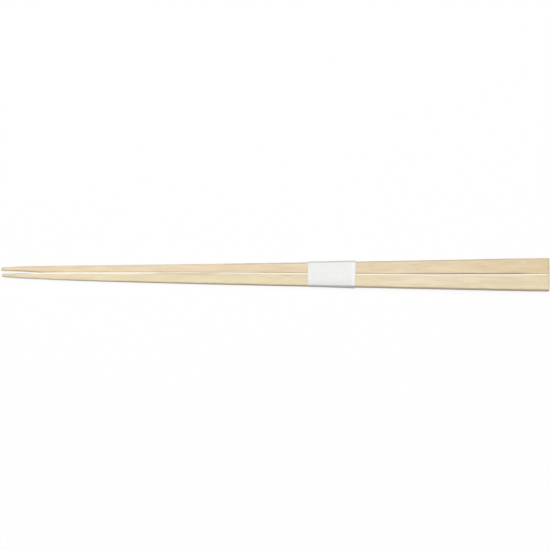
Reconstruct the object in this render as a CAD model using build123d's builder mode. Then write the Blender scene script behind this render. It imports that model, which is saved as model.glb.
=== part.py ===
"""A pair of bamboo chopsticks lying side by side, held together by a plain paper band.

Millimetres. +X runs along the sticks towards their butts, +Y to the rear stick and +Z up.
The origin is on the resting surface, under the middle of the bundle.
"""

from build123d import *
from math import atan2, degrees, sin, tan
import os

# Length of the sticks, and how far the front stick's point stands back from the rear one's
stick_length = 240.0
front_setback = 0.45

# Section of a stick at its butt, where its point begins and at the tip
butt_width = 6.95
butt_height = 5.0
neck_width = 2.4
neck_height = 2.3
tip_width = 1.4
tip_height = 1.4

# Length of the drawn-in point, and how far its inner side draws in
point_length = 15.0
point_inner_draw = 0.2

# Last stretch before the butt, where the outer face bends in by a little
butt_ease_length = 25.0
butt_ease = 0.15

# Gap between the sticks, where each inner face starts to part from it, and how far it has by the point
slit = 0.2
parting_length = 135.0
parting = 0.34

# Rounding of the long edges, of the tip and of the butt's rim
edge_radius = 0.6
tip_radius = 0.4
butt_radius = 0.25

# Paper band: its sheet, its width and how far its edge lies from the butts
paper = 0.12
band_width = 21.0
band_from_butt = 84.8
band_clearance = 0.04

# The paper stands off the outer faces, and its edge on the butts' side opens into a lip
side_bulge = 0.5
lip_length = 1.5
lip_rise = 0.2

# Glued lap under the bundle
lap_width = 8.0

# Places along X, and the height of the sticks' underside over two layers of paper
butt_x = stick_length / 2
band_end_x = butt_x - band_from_butt
band_start_x = band_end_x - band_width
underside_z = 2 * paper + band_clearance


def along_taper(at_neck, at_butt, x, length):
    """Value at x on the straight taper that runs from the start of the point to the butt."""
    neck_x = butt_x - length + point_length
    return at_neck + (at_butt - at_neck) * (x - neck_x) / (butt_x - neck_x)


def outer_face_y(x, length):
    """Distance of a stick's outer face from the middle plane, on its straight taper."""
    at_neck = slit / 2 + parting + neck_width
    at_butt = slit / 2 + butt_width + butt_ease
    return along_taper(at_neck, at_butt, x, length)


def top_face_z(x, length):
    """Height of a stick's upper face above the resting surface."""
    return underside_z + along_taper(neck_height, butt_height, x, length)


def chopstick(length):
    """The rear stick: its plan and its side view cut from one blank, then rounded."""
    tip_x = butt_x - length
    neck_x = tip_x + point_length
    ease_x = butt_x - butt_ease_length
    tip_inner_y = slit / 2 + parting + point_inner_draw
    tip_lift = (neck_height - tip_height) / 2

    with BuildPart() as stick:
        # Plan: straight inner face that parts near the tip, tapering outer face, drawn-in point
        with BuildSketch(Plane.XY.offset(underside_z)):
            with BuildLine():
                inner = Line((butt_x, slit / 2), (tip_x + parting_length, slit / 2))
                parted = TangentArc(inner @ 1, (neck_x, slit / 2 + parting), tangent=inner % 1)
                drawn_in = TangentArc(parted @ 1, (tip_x, tip_inner_y), tangent=parted % 1)
                end = Line(drawn_in @ 1, (tip_x, tip_inner_y + tip_width))
                outer = Line(
                    (neck_x, outer_face_y(neck_x, length)),
                    (ease_x, outer_face_y(ease_x, length)),
                )
                TangentArc(outer @ 0, end @ 1, tangent=(outer % 0) * -1)
                ease_bend = outer @ 1 + (outer % 1) * (butt_ease_length / 2)
                ease = Bezier(outer @ 1, ease_bend, (butt_x, slit / 2 + butt_width))
                Line(ease @ 1, inner @ 0)
            make_face()
        extrude(amount=butt_height)

        # Side view: flat underside, falling upper face, both drawn in at the point
        with BuildSketch(Plane.XZ):
            with BuildLine():
                base = Line((butt_x, underside_z), (neck_x, underside_z))
                lower_arc = TangentArc(base @ 1, (tip_x, underside_z + tip_lift), tangent=base % 1)
                end = Line(lower_arc @ 1, (tip_x, underside_z + tip_lift + tip_height))
                upper = Line(
                    (neck_x, top_face_z(neck_x, length)),
                    (butt_x, top_face_z(butt_x, length)),
                )
                TangentArc(upper @ 0, end @ 1, tangent=(upper % 0) * -1)
                Line(upper @ 1, base @ 0)
            make_face()
        extrude(amount=slit + 2 * butt_width, both=True, mode=Mode.INTERSECT)

        # Long edges first, then the tip and the rim of the butt
        long_edges = stick.edges().filter_by(lambda edge: edge.bounding_box().size.X > edge_radius)
        fillet(long_edges, edge_radius)
        fillet(stick.faces().sort_by(Axis.X)[0].edges(), tip_radius)
        fillet(stick.faces().sort_by(Axis.X)[-1].edges(), butt_radius)
    return stick.part


def band_section(x, growth, rise):
    """Closed outline round both sticks at x, outside the inner paper face by growth.

    The paper lies on the upper and lower faces, bends round the rounded edges, leaves them
    before it is upright and bulges past the outer faces in one arc.
    """
    corner_radius = edge_radius + band_clearance + growth
    corner_y = outer_face_y(x, stick_length) - edge_radius + rise
    upper_z = top_face_z(x, stick_length) - edge_radius + rise
    lower_z = underside_z + edge_radius
    half_height = (upper_z - lower_z) / 2
    lean = 2 * atan2(side_bulge, half_height)
    side_radius = corner_radius + half_height / sin(lean)
    side_y = corner_y - half_height / tan(lean)
    lean_degrees = degrees(lean)

    with BuildSketch(Plane.YZ.offset(x)) as section:
        with BuildLine():
            upper_corner = CenterArc((corner_y, upper_z), corner_radius, lean_degrees, 90 - lean_degrees)
            CenterArc((side_y, (upper_z + lower_z) / 2), side_radius, -lean_degrees, 2 * lean_degrees)
            lower_corner = CenterArc((corner_y, lower_z), corner_radius, -90, 90 - lean_degrees)
            Line((0, upper_z + corner_radius), upper_corner @ 1)
            Line((0, lower_z - corner_radius), lower_corner @ 0)
            mirror(about=Plane.YZ)
        make_face()
    return section.sketch


with BuildPart() as rear_chopstick:
    add(chopstick(stick_length))

with BuildPart() as front_chopstick:
    add(chopstick(stick_length - front_setback))
    mirror(about=Plane.XZ, mode=Mode.REPLACE)

with BuildPart() as paper_band:
    # Each face of the sheet is lofted along the taper and ends in the lip
    stations = ((band_start_x, 0.0), (band_end_x - lip_length, 0.0), (band_end_x, lip_rise))
    loft([band_section(x, paper, rise) for x, rise in stations], ruled=True)
    loft([band_section(x, 0.0, rise) for x, rise in stations], ruled=True, mode=Mode.SUBTRACT)

    # The glued end is a second layer under the first
    with BuildSketch(Plane.XY) as lap:
        with Locations((band_start_x + band_width / 2, 0)):
            Rectangle(band_width, lap_width)
    extrude(amount=paper)

os.makedirs("parts", exist_ok=True)
for name, piece in (
    ("rear_chopstick", rear_chopstick),
    ("front_chopstick", front_chopstick),
    ("paper_band", paper_band),
):
    piece.part.label = name
    export_step(piece.part, f"parts/{name}.step")
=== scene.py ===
"""Looks of a pair of bamboo chopsticks held together by a plain paper band.

Lengths are millimetres in the classes and metres in the meshes. +X runs towards the butts,
+Y to the rear stick and +Z up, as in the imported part.
"""

import logging
from dataclasses import dataclass, field
from enum import Enum
from math import cos, pi, radians, sin
from typing import Any

import bpy
import numpy as np
from mathutils import Matrix, Vector


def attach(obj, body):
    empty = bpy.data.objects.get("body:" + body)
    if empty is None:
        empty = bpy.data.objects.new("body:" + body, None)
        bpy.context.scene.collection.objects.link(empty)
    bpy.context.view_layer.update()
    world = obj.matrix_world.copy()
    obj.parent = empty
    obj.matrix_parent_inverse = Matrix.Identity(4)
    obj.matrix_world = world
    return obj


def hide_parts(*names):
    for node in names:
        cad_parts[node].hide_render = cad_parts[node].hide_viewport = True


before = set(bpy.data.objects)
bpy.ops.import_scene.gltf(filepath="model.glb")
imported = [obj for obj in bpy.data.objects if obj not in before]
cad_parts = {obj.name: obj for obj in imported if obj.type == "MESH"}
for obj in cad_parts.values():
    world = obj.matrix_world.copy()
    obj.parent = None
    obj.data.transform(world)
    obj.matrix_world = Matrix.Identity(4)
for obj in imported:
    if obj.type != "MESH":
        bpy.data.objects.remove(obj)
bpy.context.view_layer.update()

LOG = logging.getLogger("chopsticks")
MM = 0.001

Pair = tuple[float, float]
Triple = tuple[float, float, float]
Colour = Triple
Array = np.ndarray
Arrays = tuple[Array, ...]


class Side(Enum):
    """Which stick of the pair, with the sign of its side along Y."""

    REAR = 1
    FRONT = -1

    @property
    def node(self) -> str:
        """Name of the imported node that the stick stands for."""
        return f"{self.name.lower()}_chopstick"


def linear(*levels: int) -> Colour:
    """Turns a colour as a screen shows it into the linear light that a shader takes.

    Args:
        *levels: Red, green and blue from 0 to 255.

    Returns:
        The three channels as linear light from 0 to 1.
    """
    share = np.array(levels) / 255
    light = np.where(share <= 0.04045, share / 12.92, ((share + 0.055) / 1.055) ** 2.4)
    return tuple(float(channel) for channel in light)


def smooth(start: float, end: float, value: Array) -> Array:
    """Eased step: 0 before start, 1 after end, and 3t^2 - 2t^3 between them."""
    share = np.clip((value - start) / (end - start), 0, 1)
    return share * share * (3 - 2 * share)


def ramp(first: float, last: float, count: int) -> Array:
    """Even steps from first towards last, without last itself, so that runs can be joined."""
    return first + (last - first) * np.arange(count) / count


def add_object(name: str, data: bpy.types.ID) -> bpy.types.Object:
    """Makes an object and links it into the scene.

    Args:
        name: Name of the object.
        data: Its mesh, its lamp or its camera.

    Returns:
        The new object.
    """
    added = bpy.data.objects.new(name, data)
    bpy.context.scene.collection.objects.link(added)
    return added


# Meshes


def grid_faces(rows: int, columns: int) -> Array:
    """Quads between neighbouring points of a grid whose columns close on themselves.

    Args:
        rows: Rows of the grid.
        columns: Columns of the grid.

    Returns:
        One row of four point numbers for each quad.
    """
    here = np.arange(rows - 1)[:, None] * columns
    column = np.arange(columns)[None, :]
    beside, below = (column + 1) % columns, here + columns
    corners = (here + column, here + beside, below + beside, below + column)
    return np.stack(corners, -1).reshape(-1, 4)


def build_mesh(name: str, points: Array, faces: list[list[int]]) -> bpy.types.Object:
    """Makes a smooth-shaded object of points in millimetres and their faces.

    Args:
        name: Name of the object and of its mesh.
        points: One row of X, Y and Z for each point.
        faces: Point numbers of each face, counter-clockwise from outside.

    Returns:
        The new object, linked into the scene.
    """
    mesh = bpy.data.meshes.new(name)
    mesh.from_pydata((points * MM).tolist(), [], faces)
    mesh.polygons.foreach_set("use_smooth", np.ones(len(mesh.polygons), bool))
    mesh.validate()
    mesh.update()
    return add_object(name, mesh)


def add_mask(piece: bpy.types.Object, name: str, values: Array) -> None:
    """Stores one number from 0 to 1 at each point of a piece, for its finish to read."""
    attribute = piece.data.attributes.new(name, "FLOAT", "POINT")
    attribute.data.foreach_set("value", values.astype(np.float32).ravel())


# Shape of the bundle


@dataclass(frozen=True)
class Bundle:
    """Sizes and curves that both sticks and the band share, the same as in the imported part."""

    stick_length: float = 240.0
    front_setback: float = 0.45
    butt_width: float = 6.95
    butt_height: float = 5.0
    neck_width: float = 2.4
    neck_height: float = 2.3
    tip_width: float = 1.4
    tip_height: float = 1.4
    point_length: float = 15.0
    point_inner_draw: float = 0.2
    butt_ease_length: float = 25.0
    butt_ease: float = 0.15
    slit: float = 0.2
    parting_length: float = 135.0
    parting: float = 0.34
    underside_z: float = 0.28

    # The bamboo's own slight bow to the front, and how the slit strays to the rear
    sag: float = 0.40
    skew: float = 0.02
    swell_size: float = 0.12
    dip_place: float = -106.5
    dip_length: float = 7.0
    dip_size: float = 0.14
    stray: float = 0.62
    stray_starts: Pair = (-132.0, -34.0)
    stray_ends: Pair = (-20.0, 75.0)

    @property
    def butt_x(self) -> float:
        """X of the butts."""
        return self.stick_length / 2

    def tip_x(self, side: Side) -> float:
        """X of a stick's tip: the front stick is a little shorter there."""
        setback = self.front_setback if side is Side.FRONT else 0.0
        return self.butt_x - (self.stick_length - setback)

    def neck_x(self, side: Side) -> float:
        """X where a stick's point begins."""
        return self.tip_x(side) + self.point_length

    def bow(self, x: Array) -> Array:
        """Sideways place of the bundle's middle: a parabola with a small slope, nought at the butts."""
        share = x / self.butt_x
        return self.skew * (share - 1) - self.sag * (1 - share * share)

    def swell(self, x: Array, side: Side) -> Array:
        """Unevenness of the front stick's outer face: a sine over the length, less a bell at the point."""
        bell = self.dip_size * np.exp(-(((x - self.dip_place) / self.dip_length) ** 2))
        return -(side is Side.FRONT) * (self.swell_size * np.sin(pi * x / self.butt_x) + bell)

    def slit_stray(self, x: Array) -> Array:
        """How far the slit lies to the rear of the middle: up by one eased step, down by another."""
        return self.stray * smooth(*self.stray_starts, x) * (1 - smooth(*self.stray_ends, x))

    def drawn_in(self, start: float, slope: float, tip: float, x: Array, side: Side) -> Array:
        """Parabola over the point that leaves its start at the slope given and ends at the tip's value.

        Args:
            start: Value where the point begins.
            slope: Change for each millimetre towards the tip, there.
            tip: Value at the tip.
            x: Places along the stick.
            side: Which stick.

        Returns:
            The value at each x, which only counts before the point's start.
        """
        out = np.clip(self.neck_x(side) - x, 0, None)
        bend = (tip - start - slope * self.point_length) / self.point_length**2
        return start + slope * out + bend * out * out

    def tapered(self, at_neck: float, at_butt: float, at_tip: float, x: Array, side: Side) -> Array:
        """Straight change from the start of the point to the butt, and the drawn-in point before it.

        Args:
            at_neck: Value where the point begins.
            at_butt: Value at the butt.
            at_tip: Value at the tip.
            x: Places along the stick.
            side: Which stick.

        Returns:
            The value at each x.
        """
        neck_x = self.neck_x(side)
        straight = at_neck + (at_butt - at_neck) * (x - neck_x) / (self.butt_x - neck_x)
        slope = -(at_butt - at_neck) / (self.butt_x - neck_x)
        return np.where(x < neck_x, self.drawn_in(at_neck, slope, at_tip, x, side), straight)

    def outer_y(self, x: Array, side: Side) -> Array:
        """Outer face: straight taper, drawn in over the point and eased in by a parabola at the butt.

        Args:
            x: Places along the stick.
            side: Which stick.

        Returns:
            Distance of the face from the middle plane at each x.
        """
        at_neck = self.slit / 2 + self.parting + self.neck_width
        at_butt = self.slit / 2 + self.butt_width + self.butt_ease
        at_tip = self.slit / 2 + self.parting + self.point_inner_draw + self.tip_width
        eased = np.clip(x - self.butt_x + self.butt_ease_length, 0, None) / self.butt_ease_length
        return self.tapered(at_neck, at_butt, at_tip, x, side) - self.butt_ease * eased**2

    def inner_y(self, x: Array, side: Side) -> Array:
        """Inner face: straight from the butt, then a parabola away from the slit, then the point's own.

        Args:
            x: Places along the stick.
            side: Which stick.

        Returns:
            Distance of the face from the middle plane at each x.
        """
        part_run = self.parting_length - self.point_length
        apart = np.clip(self.tip_x(side) + self.parting_length - x, 0, part_run) / part_run
        parted = self.slit / 2 + self.parting * apart**2
        start = self.slit / 2 + self.parting
        point = self.drawn_in(start, 2 * self.parting / part_run, start + self.point_inner_draw, x, side)
        return np.where(x < self.neck_x(side), point, parted)

    def top_z(self, x: Array, side: Side) -> Array:
        """Upper face: straight taper, then a parabola down to the tip."""
        at_tip = (self.neck_height + self.tip_height) / 2
        return self.underside_z + self.tapered(self.neck_height, self.butt_height, at_tip, x, side)

    def bottom_z(self, x: Array, side: Side) -> Array:
        """Lower face: flat, then a parabola up to the tip."""
        lift = (self.neck_height - self.tip_height) / 2
        return self.underside_z + self.drawn_in(0.0, 0.0, lift, x, side)


@dataclass(frozen=True)
class Stripe:
    """A stripe of its own tone beside an edge, fading in and out along the stick and across it."""

    fade_in: Pair
    fade_out: Pair
    strength: float
    near: float = -1.0
    far: float = 0.36
    fade: float = 0.18

    def mask(self, x: Array, off: Array) -> Array:
        """Works out the tone: eased steps along the stick and across it, multiplied.

        Args:
            x: Places along the stick.
            off: Distance from the edge at each place.

        Returns:
            Strength of the tone there.
        """
        along = smooth(*self.fade_in, x) * (1 - smooth(*self.fade_out, x))
        beyond = smooth(self.far, self.far + self.fade, off)
        across = smooth(self.near - self.fade, self.near, off) * (1 - beyond)
        return self.strength * along * across


@dataclass(frozen=True)
class Mark:
    """A small soft mark on the upper face, such as the trace of a node or a pore."""

    x: float
    y: float
    length: float
    width: float
    strength: float

    def mask(self, x: Array, y: Array) -> Array:
        """Bell shape: e to the minus of the squared distance, each axis over its own size."""
        along, across = (x - self.x) / self.length, (y - self.y) / self.width
        return self.strength * np.exp(-(along**2) - across**2)


# Node trees


@dataclass
class Graph:
    """A node tree while it is being wired."""

    tree: bpy.types.NodeTree

    def place(self, kind: str, inputs: dict[Any, Any] | None = None, **settings: Any) -> bpy.types.Node:
        """Adds a node, sets its options and feeds its inputs.

        Args:
            kind: Blender's name for the kind of node.
            inputs: A value or a socket for each input, by the input's name or number.
            **settings: Options of the node itself.

        Returns:
            The new node.
        """
        node = self.tree.nodes.new(kind)
        for name, value in settings.items():
            setattr(node, name, value)
        for name, value in (inputs or {}).items():
            if isinstance(value, bpy.types.NodeSocket):
                self.tree.links.new(value, node.inputs[name])
            else:
                node.inputs[name].default_value = value
        return node

    def math(self, operation: str, first: Any, second: Any) -> Any:
        """One sum of two values, as a socket."""
        return self.place("ShaderNodeMath", {0: first, 1: second}, operation=operation).outputs[0]

    def remap(self, value: Any, low: float, high: float, start: float = 0.0, end: float = 1.0) -> Any:
        """Eased change of a value between two limits, as a socket."""
        limits = {"Value": value, "From Min": low, "From Max": high, "To Min": start, "To Max": end}
        return self.place("ShaderNodeMapRange", limits, interpolation_type="SMOOTHSTEP").outputs[0]

    def blend(self, factor: Any, first: Any, second: Any, mode: str = "MIX") -> Any:
        """Mix of two colours, as a socket."""
        wanted = {0: factor, 6: first, 7: second}
        return self.place("ShaderNodeMix", wanted, data_type="RGBA", blend_type=mode).outputs[2]

    def times(self, colour: Any, tint: Colour) -> Any:
        """A colour times a tint, channel by channel, as a socket."""
        return self.blend(1.0, colour, (*tint, 1), "MULTIPLY")

    def tinted(self, colour: Any, tints: dict[str, Colour]) -> Any:
        """Lays tints over a colour, each as strongly as the piece's own mask of that name says.

        Args:
            colour: The colour underneath.
            tints: A colour for each mask's name, the lowest first.

        Returns:
            The tinted colour, as a socket.
        """
        for name, tint in tints.items():
            mask = self.place("ShaderNodeAttribute", attribute_name=name).outputs["Fac"]
            colour = self.blend(mask, colour, (*tint, 1))
        return colour

    def vector(self, operation: str, first: Any, second: Any) -> Any:
        """One sum of two vectors, axis by axis, as a socket."""
        return self.place("ShaderNodeVectorMath", {0: first, 1: second}, operation=operation).outputs[0]

    def in_mm(self, place: Any) -> Any:
        """A place in metres as millimetres, as a socket."""
        return self.place("ShaderNodeMapping", {"Vector": place, "Scale": (1 / MM,) * 3}).outputs[0]

    def noise(self, vector: Any, detail: float, roughness: float = 0.5) -> Any:
        """Soft noise of about one lump for each unit of the vector, as a socket from 0 to 1."""
        wanted = {"Vector": vector, "Scale": 1.0, "Detail": detail, "Roughness": roughness}
        return self.place("ShaderNodeTexNoise", wanted).outputs[0]


def new_group(name: str, inputs: dict[str, str], outputs: tuple[str, ...]) -> tuple[Graph, Any]:
    """Starts a shader node group with named sockets.

    Args:
        name: Name of the group.
        inputs: Kind of socket for each input's name.
        outputs: Names of the outputs, which are all numbers.

    Returns:
        The group's graph and the sockets of its inputs.
    """
    tree = bpy.data.node_groups.new(name, "ShaderNodeTree")
    for socket, kind in inputs.items():
        tree.interface.new_socket(name=socket, in_out="INPUT", socket_type=kind)
    for socket in outputs:
        tree.interface.new_socket(name=socket, in_out="OUTPUT", socket_type="NodeSocketFloat")
    graph = Graph(tree)
    return graph, graph.place("NodeGroupInput").outputs


@dataclass
class SharedEffects:
    """The node groups that more than one finish uses, each built once.

    Limits are the two values between which a pattern rises from nothing to its full strength.
    """

    tone_detail: float = 3.0
    tone_roughness: float = 0.55
    tone_limits: Pair = (0.28, 0.72)
    line_detail: float = 3.0
    line_roughness: float = 0.6
    line_limits: Pair = (0.3, 0.7)
    bundle_stretch: Triple = (1.6, 0.55, 0.55)
    bundle_limits: Pair = (0.16, 0.34)
    thinning_stretch: Triple = (0.5, 0.25, 0.25)
    thinning_detail: float = 1.0
    thinning_limits: Pair = (0.42, 0.68)
    bundle_depth: float = 0.8

    def __post_init__(self) -> None:
        """Builds every group."""
        self.clouds = self._clouds()
        self.fibres = self._fibres()

    def _clouds(self) -> bpy.types.NodeTree:
        """Builds the broad uneven tone: noise on the vector divided by the size along each axis.

        Returns:
            The group.
        """
        sockets = dict.fromkeys(("Place", "Size", "Shift"), "NodeSocketVector")
        graph, given = new_group("broad_tone", sockets, ("Tone",))
        shared = graph.vector("DIVIDE", given["Place"], given["Size"])
        moved = graph.vector("ADD", shared, given["Shift"])
        tone = graph.remap(graph.noise(moved, self.tone_detail, self.tone_roughness), *self.tone_limits)
        graph.place("NodeGroupOutput", {"Tone": tone})
        return graph.tree

    def _fibres(self) -> bpy.types.NodeTree:
        """Builds the fibres that run along X: fine lines, and the darker bundles of pores among them.

        The place is divided by the fibres' length along X and their pitch across it. The lines
        are noise there. The bundles are small cells round scattered points, thinned by a second
        noise: short streaks on the long faces and dots on the ends.

        Returns:
            The group.
        """
        number, vector = "NodeSocketFloat", "NodeSocketVector"
        sockets = {"Place": vector, "Length": number, "Pitch": number, "Shift": vector}
        graph, given = new_group("long_fibres", sockets, ("Lines", "Bundles", "Height"))
        sizes = {0: given["Length"], 1: given["Pitch"], 2: given["Pitch"]}
        size = graph.place("ShaderNodeCombineXYZ", sizes).outputs[0]
        moved = graph.vector("ADD", graph.vector("DIVIDE", given["Place"], size), given["Shift"])
        lines = graph.remap(graph.noise(moved, self.line_detail, self.line_roughness), *self.line_limits)
        points = {"Vector": graph.vector("MULTIPLY", moved, self.bundle_stretch), "Scale": 1.0}
        cells = graph.place("ShaderNodeTexVoronoi", points, feature="F1").outputs["Distance"]
        sparse = graph.noise(graph.vector("MULTIPLY", moved, self.thinning_stretch), self.thinning_detail)
        thinning = graph.remap(sparse, *self.thinning_limits)
        bundles = graph.math("MULTIPLY", graph.remap(cells, *self.bundle_limits, 1.0, 0.0), thinning)
        height = graph.math("SUBTRACT", lines, graph.math("MULTIPLY", bundles, self.bundle_depth))
        graph.place("NodeGroupOutput", {"Lines": lines, "Bundles": bundles, "Height": height})
        return graph.tree


def empty_material(name: str) -> tuple[bpy.types.Material, Graph]:
    """Makes a material without nodes.

    Args:
        name: Name of the material.

    Returns:
        The material and its graph.
    """
    material = bpy.data.materials.new(name)
    material.use_nodes = True
    material.node_tree.nodes.clear()
    return material, Graph(material.node_tree)


# Finishes


@dataclass(frozen=True, kw_only=True)
class Finish:
    """What every finish has: fibres, broad tones, roughness and relief, with sizes in millimetres."""

    name: str
    fibre_length: float
    fibre_pitch: float
    cloud_size: Triple
    roughness: Pair
    relief_strength: float
    relief_depth: float
    shift: Triple = (0.0, 0.0, 0.0)

    def patterns(self, graph: Graph, effects: SharedEffects, place: Any) -> tuple[Any, Any]:
        """Puts both shared patterns into a material.

        Args:
            graph: The material's graph.
            effects: The shared node groups.
            place: Where each point lies on the pattern, in millimetres.

        Returns:
            The sockets of the fibres, and the broad tone as a socket.
        """
        given = {"Place": place, "Shift": self.shift}
        sizes = {"Length": self.fibre_length, "Pitch": self.fibre_pitch}
        fibres = graph.place("ShaderNodeGroup", given | sizes, node_tree=effects.fibres)
        clouds = graph.place("ShaderNodeGroup", given | {"Size": self.cloud_size}, node_tree=effects.clouds)
        return fibres.outputs, clouds.outputs["Tone"]

    def dress(self, graph: Graph, colour: Any, rubbed: Any, height: Any) -> None:
        """Adds the shader with its colour, its roughness and its fine relief.

        Args:
            graph: The material's graph.
            colour: Colour of the surface.
            rubbed: Value from 0 to 1 that takes the roughness from one limit to the other.
            height: Height of the relief, as a share of its depth.
        """
        relief = {"Height": height, "Strength": self.relief_strength, "Distance": self.relief_depth * MM}
        normal = graph.place("ShaderNodeBump", relief).outputs[0]
        rough = graph.remap(rubbed, 0.0, 1.0, *self.roughness)
        wanted = {"Base Color": colour, "Roughness": rough, "Normal": normal}
        shader = graph.place("ShaderNodeBsdfPrincipled", wanted)
        graph.place("ShaderNodeOutputMaterial", {"Surface": shader.outputs[0]})


@dataclass(frozen=True, kw_only=True)
class BambooFinish(Finish):
    """Bare sanded bamboo: pale and even towards the tips, warmer towards the butts."""

    tip_colour: Colour
    middle_colour: Colour
    right_colour: Colour
    butt_colour: Colour
    fibre_length: float = 14.0
    fibre_pitch: float = 0.34
    cloud_size: Triple = (16.0, 2.6, 2.6)
    roughness: Pair = (0.5, 0.64)
    relief_strength: float = 0.35
    relief_depth: float = 0.03
    # Pale tint: painted highlight along the slit, partly the paler fibre of the split, painted light on the
    # front point's shaded side, and the pale trace of a node
    highlight_and_pale_mark_colour: Colour = linear(255, 247, 230)
    # Dark tint: painted shade in the slit, on edges turned from the light and at the cut ends, and the pore
    # at the butt
    shade_and_pore_colour: Colour = linear(150, 118, 78)
    pore_colour: Colour = linear(176, 146, 104)
    colour_ends: Pair = (-120.0, 120.0)
    middle_place: float = 0.45
    right_place: float = 0.8

    # Tints of the broad tone and of the fine lines, and how strongly lines and pores show
    light_tint: Colour = (1.05, 1.05, 1.04)
    dark_tint: Colour = (0.95, 0.935, 0.90)
    line_tint: Colour = (0.93, 0.92, 0.89)
    line_share: float = 0.8
    pore_share: float = 0.34

    def along(self, graph: Graph, place: Any) -> Any:
        """Base colour that changes along the stick through four tones.

        Args:
            graph: The material's graph.
            place: Where each point lies, in millimetres.

        Returns:
            The colour, as a socket.
        """
        x = graph.place("ShaderNodeSeparateXYZ", {0: place}).outputs[0]
        start, end = self.colour_ends
        limits = {"Value": x, "From Min": start, "From Max": end}
        tones = graph.place("ShaderNodeValToRGB", {0: graph.place("ShaderNodeMapRange", limits).outputs[0]})
        stops = tones.color_ramp.elements
        stops[0].color = (*self.tip_colour, 1)
        stops[1].color = (*self.butt_colour, 1)
        stops.new(self.middle_place).color = (*self.middle_colour, 1)
        stops.new(self.right_place).color = (*self.right_colour, 1)
        return tones.outputs[0]

    def material(self, effects: SharedEffects) -> bpy.types.Material:
        """Builds the material.

        Args:
            effects: The shared node groups.

        Returns:
            The finished material.
        """
        material, graph = empty_material(self.name)
        place = graph.in_mm(graph.place("ShaderNodeTexCoord").outputs["Object"])
        fibres, tone = self.patterns(graph, effects, place)
        colour = self.along(graph, place)
        lighter, darker = graph.times(colour, self.light_tint), graph.times(colour, self.dark_tint)
        colour = graph.blend(tone, darker, lighter)
        lined = graph.times(colour, self.line_tint)
        colour = graph.blend(graph.math("MULTIPLY", fibres["Lines"], self.line_share), colour, lined)
        pores = graph.math("MULTIPLY", fibres["Bundles"], self.pore_share)
        colour = graph.blend(pores, colour, (*self.pore_colour, 1))
        # Painted highlight with the pale marks, then painted shade with the pore, each as strong as its
        # mask
        colour = graph.tinted(colour, {"split_edge": self.highlight_and_pale_mark_colour, "painted_shade_and_pore": self.shade_and_pore_colour})
        self.dress(graph, colour, fibres["Lines"], fibres["Height"])
        return material


@dataclass(frozen=True, kw_only=True)
class PaperFinish(Finish):
    """Plain white uncoated paper with a soft cloudy body and fine surface fibres."""

    name: str = "band_paper"
    fibre_length: float = 1.1
    fibre_pitch: float = 0.16
    cloud_size: Triple = (3.0, 3.0, 3.0)
    roughness: Pair = (0.74, 0.86)
    relief_strength: float = 0.25
    relief_depth: float = 0.015
    colour: Colour = linear(243, 243, 241)
    cloud_colour: Colour = linear(239, 239, 237)
    # Painted shade on the rounded edges, a slightly warm painted shade on the front side, and a painted
    # highlight on the lifted lip
    edge_shade_colour: Colour = linear(202, 203, 201)
    front_shade_colour: Colour = linear(235, 233, 228)
    lip_colour: Colour = linear(246, 246, 244)

    def material(self, effects: SharedEffects) -> bpy.types.Material:
        """Builds the material, with its patterns on the sheet's own UV map in millimetres.

        Args:
            effects: The shared node groups.

        Returns:
            The finished material.
        """
        material, graph = empty_material(self.name)
        place = graph.in_mm(graph.place("ShaderNodeUVMap", uv_map="sheet").outputs[0])
        fibres, tone = self.patterns(graph, effects, place)
        colour = graph.blend(tone, (*self.cloud_colour, 1), (*self.colour, 1))
        # Painted shade on the front side and the rounded edges, and a painted highlight on the lip
        tints = {"painted_front_shade": self.front_shade_colour, "lit_lip": self.lip_colour, "painted_edge_shade": self.edge_shade_colour}
        self.dress(graph, graph.tinted(colour, tints), tone, fibres["Height"])
        return material


# Pieces


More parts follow.
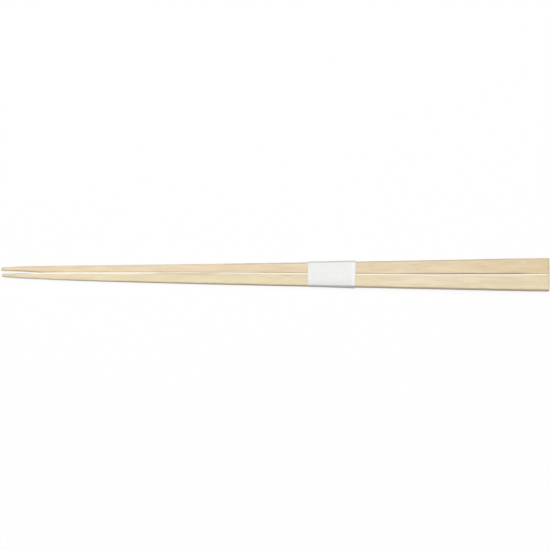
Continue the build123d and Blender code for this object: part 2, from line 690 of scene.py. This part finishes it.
@dataclass
class Chopstick:
    """One stick: a rounded square section carried along its length, closed at both ends."""

    bundle: Bundle
    side: Side
    finish: BambooFinish
    pale_stripes: tuple[Stripe, ...]
    dark_stripes: tuple[Stripe, ...]
    outer_dark: tuple[Stripe, ...]
    outer_pale: tuple[Stripe, ...] = ()
    pale_marks: tuple[Mark, ...] = ()
    dark_marks: tuple[Mark, ...] = ()

    # Rounding of the long edges: full at the tip, crisper from the end of the rounded stretch on
    round_edge: float = 0.6
    crisp_edge: float = 0.32
    split_edge: float = 0.14
    rounded_stretch: Pair = (-110.0, -84.0)
    tip_radius: float = 0.6
    butt_radius: float = 0.25
    least_radius: float = 0.03

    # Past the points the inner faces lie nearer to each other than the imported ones
    hugging_gap: float = 0.07
    hug_starts: Pair = (-112.0, -99.0)

    stations: int = 300
    end_rings: int = 7
    cap_rings: int = 6
    corner_points: int = 9
    face_points: int = 22

    # How far down the sides the stripes reach, and the painted shade at the cut ends
    stripe_depth: Pair = (0.5, 1.5)
    butt_rim: float = 0.12
    butt_rim_stretch: Pair = (0.5, 0.15)
    tip_rim: float = 0.1
    tip_rim_stretch: Pair = (0.2, 3.5)

    # Hand of the sanding: shallow waves along the faces
    wave_depth: float = 0.02
    wave_lengths: Pair = (4.3, 11.7)
    wave_start: float = 1.7

    def outline(self) -> Array:
        """Template of the section: side signs and normals of its points.

        A point lies at sign * (half side - radius) + radius * normal on each axis. On a corner
        the signs stay and the normal turns by a quarter; on a face the normal stays and one
        sign runs from one corner to the next, in cosine steps that are closer near the edges.

        Returns:
            Columns of Y sign, Z sign, Y normal and Z normal, once round from the outer top corner.
        """
        signs = np.array([(1, 1), (-1, 1), (-1, -1), (1, -1)], float)
        runs = []
        for quarter in range(4):
            here, after = signs[quarter], signs[(quarter + 1) % 4]
            turn = pi / 2 * (quarter + ramp(0, 1, self.corner_points))
            runs.append(np.stack([here[0] + 0 * turn, here[1] + 0 * turn, np.cos(turn), np.sin(turn)], 1))
            step = (1 - np.cos(pi * ramp(0, 1, self.face_points)))[:, None] / 2
            upright = np.array([cos(pi / 2 * (quarter + 1)), sin(pi / 2 * (quarter + 1))])
            runs.append(np.hstack([here + (after - here) * step, upright + 0 * step]))
        return np.concatenate(runs)

    def rings(self) -> Arrays:
        """Places of the rings along X and how far each is drawn in, on quarter circles at both ends.

        Returns:
            X of each ring and the inset of its sides.
        """
        tip_x, butt_x = self.bundle.tip_x(self.side), self.bundle.butt_x
        turn = ramp(pi / 2, 0, self.end_rings)
        beyond, drawn = 1 - np.sin(turn), 1 - np.cos(turn)
        body = np.linspace(tip_x + self.tip_radius, butt_x - self.butt_radius, self.stations)
        tip, butt = tip_x + self.tip_radius * beyond, butt_x - self.butt_radius * beyond[::-1]
        inset = [self.tip_radius * drawn, np.zeros(self.stations), self.butt_radius * drawn[::-1]]
        return np.concatenate([tip, body, butt]), np.concatenate(inset)

    def surface(self) -> Array:
        """Carries the section along the stick.

        Returns:
            Points by ring and by place round the section, in millimetres.
        """
        bundle, side, sign = self.bundle, self.side, self.side.value
        x, inset = self.rings()
        sign_y, sign_z, normal_y, normal_z = self.outline().T
        inner = bundle.inner_y(x, side)
        inner = inner + (self.hugging_gap / 2 - inner) * smooth(*self.hug_starts, x)
        inner = inner + sign * bundle.slit_stray(x) + inset
        outer = bundle.outer_y(x, side) + bundle.swell(x, side) - inset
        bottom, top = bundle.bottom_z(x, side) + inset, bundle.top_z(x, side) - inset
        crisp = smooth(*self.rounded_stretch, x)[:, None]
        sharpest = self.crisp_edge + (self.split_edge - self.crisp_edge) * (1 - sign_y) / 2
        radius = self.round_edge + (sharpest - self.round_edge) * crisp
        radius = np.maximum(radius - inset[:, None], self.least_radius)
        half_y, half_z = ((outer - inner) / 2)[:, None], ((top - bottom) / 2)[:, None]
        wave = self.wave_depth * self.sanding(x)[:, None]
        y = ((outer + inner) / 2)[:, None] + sign_y * (half_y - radius - wave) + radius * normal_y
        z = ((top + bottom) / 2)[:, None] + sign_z * (half_z - radius - wave) + radius * normal_z
        y = sign * y + bundle.bow(x)[:, None]
        return np.stack([np.broadcast_to(x[:, None], y.shape), y, z], -1)

    def sanding(self, x: Array) -> Array:
        """Waves from 0 to 1: two sines of unlike length, added and halved, so that they never repeat."""
        start, (short, long) = self.wave_start * self.side.value, self.wave_lengths
        return 0.5 + 0.25 * (np.sin(x / short + start) + np.sin(x / long - 2 * start))

    def edge_masks(self, points: Array) -> Arrays:
        """Masks of the pale stripes, painted highlight along the slit and partly the paler fibre of the
        split, and of the dark stripes along the edges, painted shade.

        Stripes are measured from the inner or the outer face, at the ends from where these are
        still straight, and fade out down the sides. Marks lie on the upper face alone.

        Args:
            points: The surface's points by ring and by place round the section.

        Returns:
            The pale mask and the dark mask, for each point.
        """
        x, y, z = points[..., 0], self.side.value * points[..., 1], points[..., 2]
        ends = self.cap_rings - 1 + self.end_rings
        full = np.clip(np.arange(len(x)), ends, len(x) - 1 - ends)
        inside, outside = y - y.min(1)[full, None], y.max(1)[full, None] - y
        below = z.max(1)[full, None] - z
        above, top = 1 - smooth(*self.stripe_depth, below), below < self.crisp_edge / 2

        def total(patterns: tuple[Any, ...], across: Array) -> Any:
            """All patterns of one kind, added."""
            return sum(pattern.mask(x, across) for pattern in patterns)

        pale = above * total(self.pale_stripes, inside) + above * total(self.outer_pale, outside)
        dark = above * total(self.dark_stripes, inside) + above * total(self.outer_dark, outside)
        pale = pale + top * total(self.pale_marks, points[..., 1])
        dark = dark + top * total(self.dark_marks, points[..., 1])
        return np.clip(pale, 0, 1), np.clip(dark, 0, 1)

    def rim_mask(self, points: Array) -> Array:
        """Painted shade on the cut ends: a darker rim that fades over the ends' rounding.

        Args:
            points: The surface's points by ring and by place round the section.

        Returns:
            Strength of the rim at each point.
        """
        x, tip_x = points[..., 0], self.bundle.tip_x(self.side)
        butt = smooth(*(self.bundle.butt_x - length for length in self.butt_rim_stretch), x)
        tip = 1 - smooth(*(tip_x + length for length in self.tip_rim_stretch), x)
        return self.butt_rim * butt + self.tip_rim * tip

    def closed(self, side: Array) -> tuple[Array, Array, list[list[int]]]:
        """Closes both ends by rings that shrink evenly to a pole.

        Args:
            side: The surface's points by ring and by place round the section.

        Returns:
            The points with the ends' rings, the two poles, and the faces of it all.
        """
        share = ramp(0, 1, self.cap_rings)[1:, None, None]
        poles = np.stack([side[0].mean(0), side[-1].mean(0)])
        tip_cap = poles[0] + (side[0] - poles[0]) * share
        butt_cap = poles[1] + (side[-1] - poles[1]) * share[::-1]
        grid = np.concatenate([tip_cap, side, butt_cap])
        rows, columns = grid.shape[:2]
        here = np.arange(columns)
        beside, last, pole = (here + 1) % columns, (rows - 1) * columns, np.full(columns, rows * columns)
        tip_fan = np.stack([pole, beside, here], 1)
        butt_fan = np.stack([pole + 1, last + here, last + beside], 1)
        every = (grid_faces(rows, columns), tip_fan, butt_fan)
        return grid, poles, sum((part[:, :: -self.side.value].tolist() for part in every), [])

    def build(self, effects: SharedEffects) -> bpy.types.Object:
        """Builds the stick, closes its ends and dresses it.

        Args:
            effects: The shared node groups.

        Returns:
            The finished piece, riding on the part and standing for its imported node.
        """
        grid, poles, faces = self.closed(self.surface())
        points = np.concatenate([grid.reshape(-1, 3), poles])
        piece = build_mesh(f"bamboo_stick_{self.side.name.lower()}", points, faces)
        pale, dark = self.edge_masks(grid)
        dark = np.clip(dark + self.rim_mask(grid), 0, 1)
        add_mask(piece, "split_edge", np.append(pale, (0, 0)))
        add_mask(piece, "painted_shade_and_pore", np.append(dark, (self.tip_rim, self.butt_rim)))
        piece.data.materials.append(self.finish.material(effects))
        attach(piece, "root")
        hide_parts(self.side.node)
        return piece


@dataclass
class PaperBand:
    """One strip of paper wrapped once round both sticks, its end glued over its start underneath."""

    bundle: Bundle
    finish: PaperFinish = field(default_factory=PaperFinish)
    paper: float = 0.12
    band_width: float = 21.0
    band_from_butt: float = 84.8
    clearance: float = 0.04
    edge_radius: float = 0.6
    rear_bulge: Pair = (0.48, 0.56)
    front_bulge: Pair = (0.06, 0.48)
    front_draws: Pair = (0.08, 0.16)
    lip_length: float = 1.7
    lip_rise: float = 0.06
    front_lip_rise: float = 0.2
    start_draw: float = 0.12
    end_draws: Pair = (0.1, -0.2)
    # Painted shade on the band's rounded edges and front side, and where the painted highlight on the lip
    # lies
    edge_shade_strengths: Pair = (0.6, 0.52)
    edge_shade_power: float = 1.5
    front_shade_reach: Pair = (2.2, 4.4)
    lit_stretch: tuple[float, ...] = (1.9, 1.3, 0.5, 0.2)
    lap_width: float = 8.0
    step_length: float = 0.9
    across: int = 64
    arc_points: int = 12
    face_points: int = 40

    # Where the sheet's front half begins, and the shallow ripples of its upper face
    front_half: Pair = (-1.5, 3.0)
    ripple_height: float = 0.03
    ripple_lengths: Pair = (3.1, 2.2)
    ripple_start: float = 0.6

    def corners(self, x: Array, share: Array) -> Arrays:
        """Finds the centres of the small arcs round the sticks' edges, along the taper and the lip.

        Args:
            x: Places across the sheet's width.
            share: The same as shares of the width.

        Returns:
            Distance from the middle plane at the rear and at the front, height above and below.
        """
        rise = (self.lip_rise * self.lip_share(x) ** 2)[:, None]
        rear = self.bundle.outer_y(x, Side.REAR)[:, None] - self.edge_radius + rise
        first_draw, last_draw = self.front_draws
        front = rear - first_draw - (last_draw - first_draw) * share
        upper = self.bundle.top_z(x, Side.REAR)[:, None] - self.edge_radius + rise
        return rear, front, upper, self.bundle.underside_z + self.edge_radius + 0 * upper

    def bend(self, y: Array, z: Array, radius: Any, start: Any, end: Any) -> Arrays:
        """Points and outward directions on an arc about a centre, from one angle to another."""
        turn = start + (end - start) * ramp(0, 1, self.arc_points)
        return y + radius * np.cos(turn), z + radius * np.sin(turn), np.cos(turn), np.sin(turn)

    def run(self, start: Array, end: Array, z: Array, up: float) -> Arrays:
        """Points and outward directions on a flat stretch from one Y to another."""
        y = start + (end - start) * ramp(0, 1, self.face_points)
        return y, z + 0 * y, 0 * y, up + 0 * y

    def path(self, x: Array) -> Arrays:
        """Follows the sheet's inner face once round the bundle and over its own start.

        The sheet is flat under and over the sticks, turns round each rounded edge on a small
        arc and passes each outer face on one wide arc, which is tangent to the small ones.
        The last run steps down by the paper's thickness to lie under the first.

        Args:
            x: Places across the sheet's width.

        Returns:
            Y and Z of the points and of the outward directions, by station and along the sheet.
        """
        share = ((x - x[0]) / (x[-1] - x[0]))[:, None]
        rear, front, upper, lower = self.corners(x, share)
        small, half, middle = self.edge_radius + self.clearance, (upper - lower) / 2, (upper + lower) / 2
        bulges = (first + (last - first) * share for first, last in (self.rear_bulge, self.front_bulge))
        rear_lean, front_lean = (2 * np.arctan2(bulge, half) for bulge in bulges)
        rear_wide, front_wide = (small + half / np.sin(lean) for lean in (rear_lean, front_lean))
        rear_y, front_y = rear - half / np.tan(rear_lean), front - half / np.tan(front_lean)
        ones = np.ones_like(rear)
        lap, quarter = self.lap_width / 2 * ones, pi / 2 * ones
        y, z, out_y, out_z = self.run(-front, lap, lower - small, -1.0)
        down = smooth(0.0, self.step_length, y + lap + self.step_length)
        runs = [
            self.run(-lap, rear, lower - small, -1.0),
            self.bend(rear, lower, small, -quarter, -rear_lean),
            self.bend(rear_y, middle, rear_wide, -rear_lean, rear_lean),
            self.bend(rear, upper, small, rear_lean, quarter),
            self.run(rear, -front, upper + small, 1.0),
            self.bend(-front, upper, small, quarter, pi - front_lean),
            self.bend(-front_y, middle, front_wide, pi - front_lean, pi + front_lean),
            self.bend(-front, lower, small, pi + front_lean, 3 * quarter),
            (y, z - self.paper * down, out_y, out_z),
        ]
        return tuple(np.concatenate(parts, 1) for parts in zip(*runs))

    def lip_share(self, x: Array) -> Array:
        """How far into the lip each place is: 0 before it and 1 at the sheet's edge."""
        return np.clip((x - x[-1] + self.lip_length) / self.lip_length, 0, 1)

    def faces_of_sheet(self) -> tuple[Array, Array, dict[str, Array]]:
        """Works out both faces of the sheet, parallel to each other by the paper's thickness.

        Returns:
            The inner and the outer face's points by station and along the sheet, and the masks
            of the painted shade on the rounded edges and on the front side and of the painted
            highlight on the lit lip by name.
        """
        end = self.bundle.butt_x - self.band_from_butt
        x = np.linspace(end - self.band_width, end, self.across)
        y, z, out_y, out_z = self.path(x)
        share = self.lip_share(x)[:, None]
        over_front, upwards = smooth(*self.front_half, -y), np.clip(out_z, 0, 1)
        lift = self.front_lip_rise * share**2 * over_front * upwards**2
        wave, cross_wave = self.ripple_lengths
        ripple = self.ripple_height * np.sin(x / wave + self.ripple_start)[:, None]
        ripple = np.clip(ripple * upwards * np.cos(y / cross_wave), 0, None)
        y = y + self.bundle.bow(x)[:, None]
        rear_draw, front_draw = self.end_draws
        start_share = np.clip(1 - (x - x[0]) / self.lip_length, 0, 1)[:, None]
        x_grid = x[:, None] + share * (rear_draw + (front_draw - rear_draw) * over_front)
        x_grid = x_grid + self.start_draw * start_share
        inner = np.stack([x_grid, y + out_y * (lift + ripple), z + out_z * (lift + ripple)], -1)
        outer = inner + self.paper * np.stack([0 * y, out_y, out_z], -1)
        # Painted shade on the rounded edges, strongest where they face halfway between up and out
        bent = (2 * np.abs(out_y * out_z)) ** self.edge_shade_power
        painted_edge_shade = bent * np.where(out_y > 0, *self.edge_shade_strengths)
        # Painted shade, slightly warm, over the upward faces of the front half
        front_shade = smooth(*self.front_shade_reach, -y) * upwards
        lit_places = [end - length for length in self.lit_stretch]
        lit = smooth(*lit_places[:2], x) * (1 - smooth(*lit_places[2:], x))
        return inner, outer, {"painted_edge_shade": painted_edge_shade, "painted_front_shade": front_shade, "lit_lip": lit[:, None] * upwards}

    def build(self, effects: SharedEffects) -> bpy.types.Object:
        """Builds the sheet as a closed thin body and dresses it.

        The outer face runs across the width and the inner one back, so that one closed loop
        at each place along the sheet carries both faces and both cut edges.

        Args:
            effects: The shared node groups.

        Returns:
            The finished piece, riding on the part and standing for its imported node.
        """
        inner, outer, masks = self.faces_of_sheet()
        loop = np.concatenate([outer, inner[::-1]])
        grid = loop.transpose(1, 0, 2)
        rows, columns = grid.shape[:2]
        faces = [grid_faces(rows, columns)]
        step = np.arange(columns // 2 - 1)
        for row in (0, rows - 1):
            here, across = row * columns + step, (row + 1) * columns - 1 - step
            quads = np.stack([here, across, across - 1, here + 1], 1)
            faces.append(quads if row else quads[:, ::-1])
        piece = build_mesh("paper_band_sheet", grid.reshape(-1, 3), np.concatenate(faces).tolist())
        for name, mask in masks.items():
            add_mask(piece, name, np.concatenate([mask, mask[::-1]]).transpose(1, 0))
        self.lay_out(piece, grid)
        piece.data.materials.append(self.finish.material(effects))
        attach(piece, "root")
        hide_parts("paper_band")
        return piece

    @staticmethod
    def lay_out(piece: bpy.types.Object, grid: Array) -> None:
        """Gives the sheet a UV map in metres: V across its width and U along its length.

        Args:
            piece: The sheet.
            grid: Its points by place along the sheet and round its loop.
        """
        middle = grid.mean(1)
        steps = np.linalg.norm(np.diff(middle, axis=0), axis=1)
        along = np.concatenate([[0.0], np.cumsum(steps)])[:, None] + 0 * grid[..., 0]
        flat = np.stack([along, grid[..., 0]], -1).reshape(-1, 2) * MM
        corners = np.empty(len(piece.data.loops), np.int32)
        piece.data.loops.foreach_get("vertex_index", corners)
        layer = piece.data.uv_layers.new(name="sheet")
        layer.data.foreach_set("uv", flat[corners].astype(np.float32).ravel())


# Studio


@dataclass(frozen=True)
class Studio:
    """Plain white table, soft light from high behind, and a long lens from above."""

    floor_size: float = 6.0
    floor_colour: Colour = (0.45, 0.45, 0.45)
    floor_white: float = 0.9
    floor_drop: float = 0.02
    room_light: float = 0.27
    key_light: float = 0.66
    key_height: float = 78.0
    key_azimuth: float = 100.0
    fill_light: float = 0.09
    fill_height: float = 22.0
    fill_azimuths: Pair = (0.0, 180.0)
    lamp_distance: float = 1.6
    lamp_size: float = 0.7
    lens: float = 300.0
    sensor: float = 36.0
    clip_ratio: float = 20.0
    elevation: float = 80.0
    roll: float = 0.3375
    pixels: float = 550.0
    pixels_per_mm: float = 2.2875
    target_mm: Triple = (0.0, -1.174, 5.0)

    def seen_white(self, graph: Graph) -> Any:
        """Tells the rays that come from the camera or off a glossy or clear surface.

        Args:
            graph: Graph of a material or of the room.

        Returns:
            1 for these rays and 0 for the others, as a socket.
        """
        path = graph.place("ShaderNodeLightPath").outputs
        seen = graph.math("MAXIMUM", path["Is Camera Ray"], path["Is Glossy Ray"])
        return graph.math("MAXIMUM", seen, path["Is Transmission Ray"])

    def add_floor(self) -> None:
        """Lays the table just under the part: matt and pale, nearly white to the camera."""
        half = self.floor_size / 2
        signs = ((-1, -1), (1, -1), (1, 1), (-1, 1))
        mesh = bpy.data.meshes.new("table")
        corners = [(x * half, y * half, -self.floor_drop * MM) for x, y in signs]
        mesh.from_pydata(corners, [], [(0, 1, 2, 3)])
        material, graph = empty_material("table_top")
        seen = self.seen_white(graph)
        colour = graph.blend(seen, (*self.floor_colour, 1), (1, 1, 1, 1))
        matt = graph.place("ShaderNodeBsdfDiffuse", {"Color": colour})
        white = graph.place("ShaderNodeEmission", {"Color": (1, 1, 1, 1), "Strength": 1.0})
        share = graph.math("MULTIPLY", seen, self.floor_white)
        both = graph.place("ShaderNodeMixShader", {0: share, 1: matt.outputs[0], 2: white.outputs[0]})
        graph.place("ShaderNodeOutputMaterial", {"Surface": both.outputs[0]})
        mesh.materials.append(material)
        floor = add_object("table", mesh)

    def add_room(self) -> None:
        """Even pale light from all round, which the camera sees as white."""
        world = bpy.data.worlds.new("room")
        bpy.context.scene.world = world
        world.use_nodes = True
        world.node_tree.nodes.clear()
        graph = Graph(world.node_tree)
        seen = graph.math("MULTIPLY", self.seen_white(graph), 1 - self.room_light)
        strength = graph.math("ADD", self.room_light, seen)
        light = graph.place("ShaderNodeBackground", {"Color": (1, 1, 1, 1), "Strength": strength})
        graph.place("ShaderNodeOutputWorld", {"Surface": light.outputs[0]})

    def add_lamp(self, name: str, light: float, height_degrees: float, azimuth_degrees: float) -> None:
        """Puts up one large soft lamp that shines at the part.

        Args:
            name: Name of the lamp.
            light: How much it adds to the upper faces, where 1 shows a colour as written.
            height_degrees: How high it stands above the table.
            azimuth_degrees: Its direction on the table, from +X towards +Y.
        """
        height, azimuth = radians(height_degrees), radians(azimuth_degrees)
        towards = Vector((cos(height) * cos(azimuth), cos(height) * sin(azimuth), sin(height)))
        lamp = bpy.data.lights.new(name, "AREA")
        lamp.shape = "SQUARE"
        lamp.size = self.lamp_size
        lamp.energy = light * pi**2 * self.lamp_distance**2 / sin(height)
        shining = add_object(name, lamp)
        shining.location = towards * self.lamp_distance
        shining.rotation_euler = towards.to_track_quat("Z", "Y").to_euler()

    def add_camera(self) -> None:
        """Long lens at the photograph's elevation, rolled a little, as far off as fills the frame."""
        elevation, roll = radians(self.elevation), radians(self.roll)
        back = Vector((0, -cos(elevation), sin(elevation)))
        along = Vector((1, 0, 0))
        up = back.cross(along)
        right = along * cos(roll) + up * sin(roll)
        above = up * cos(roll) - along * sin(roll)
        seen_width = self.pixels / self.pixels_per_mm * MM
        distance = seen_width * self.lens / self.sensor
        lens = bpy.data.cameras.new("view")
        lens.lens = self.lens
        lens.sensor_width = self.sensor
        lens.clip_start = distance / self.clip_ratio
        lens.clip_end = distance * self.clip_ratio
        camera = add_object("view", lens)
        turned = Matrix((right, above, back)).transposed().to_4x4()
        camera.matrix_world = Matrix.Translation(Vector(self.target_mm) * MM + back * distance) @ turned
        bpy.context.scene.camera = camera

    def build(self) -> None:
        """Sets up the whole studio and the way colours are shown."""
        self.add_floor()
        self.add_room()
        self.add_lamp("key", self.key_light, self.key_height, self.key_azimuth)
        for number, azimuth in enumerate(self.fill_azimuths):
            self.add_lamp(f"fill_{number}", self.fill_light / 2, self.fill_height, azimuth)
        self.add_camera()
        bpy.context.scene.view_settings.view_transform = "Standard"


REAR_BAMBOO = BambooFinish(
    name="bamboo_rear",
    tip_colour=linear(237, 214, 184),
    middle_colour=linear(229, 211, 179),
    right_colour=linear(227, 208, 175),
    butt_colour=linear(220, 199, 160),
)
FRONT_BAMBOO = BambooFinish(
    name="bamboo_front",
    tip_colour=linear(232, 216, 184),
    middle_colour=linear(230, 216, 180),
    right_colour=linear(231, 216, 187),
    butt_colour=linear(226, 210, 176),
    shift=(7.3, 31.0, 12.0),
)

# Stripes along the split edges and the outer edges, with where each fades in and out in
# millimetres along the stick, its strength, and its reach from the edge. The pale stripes are
# painted highlight along the slit, partly the paler fibre of the split; the dark ones are painted
# shade in the slit and on the edges turned away from the light.
REAR_PALE = (Stripe((-109.0, -104.0), (-60.0, -48.0), 1.0, far=0.05, fade=0.12),)
REAR_DARK = (
    Stripe((-95.0, -86.0), (-52.0, -46.0), 0.12),
    Stripe((-12.0, 0.0), (110.0, 114.0), 0.12),
    Stripe((40.0, 84.0), (106.0, 113.0), 0.65),
)
REAR_OUTER = (
    Stripe((-200.0, -190.0), (98.0, 108.0), 0.1),
    Stripe((-25.0, -18.0), (98.0, 110.0), 0.3, far=0.42),
)
FRONT_PALE = (
    Stripe((-111.0, -104.0), (-56.0, -50.0), 0.9, far=0.74),
    Stripe((-58.0, -50.0), (-30.0, -26.0), 0.6, far=0.3),
    Stripe((-30.0, -22.0), (119.5, 120.0), 1.0, far=0.42),
)
FRONT_DARK = (
    Stripe((-54.0, -48.0), (-33.0, -25.0), 0.22, near=0.5, far=1.15),
    Stripe((104.0, 114.0), (130.0, 140.0), 0.14, near=0.55, far=0.8),
)
FRONT_OUTER = (Stripe((-95.0, -60.0), (96.0, 114.0), 0.14),)
# Painted light on the shaded outer side of the front stick's point
FRONT_TIP = (Stripe((-130.0, -125.0), (-98.0, -65.0), 0.4, far=0.1, fade=0.3),)
NODE_TRACE = Mark(108.8, 5.2, 1.1, 0.35, 0.3)
END_PORE = Mark(119.5, 3.05, 0.35, 0.4, 0.5)


def main() -> None:
    """Builds the studio, both sticks and the band."""
    logging.basicConfig(level=logging.INFO, format="%(name)s %(message)s")
    Studio().build()
    bundle = Bundle()
    effects = SharedEffects()
    rear = Chopstick(
        bundle,
        Side.REAR,
        REAR_BAMBOO,
        REAR_PALE,
        REAR_DARK,
        REAR_OUTER,
        pale_marks=(NODE_TRACE,),
        dark_marks=(END_PORE,),
    )
    front = Chopstick(bundle, Side.FRONT, FRONT_BAMBOO, FRONT_PALE, FRONT_DARK, FRONT_OUTER, FRONT_TIP)
    for maker in (rear, front, PaperBand(bundle)):
        piece = maker.build(effects)
        LOG.info("%s: %d faces", piece.name, len(piece.data.polygons))


if __name__ == "__main__":
    main()
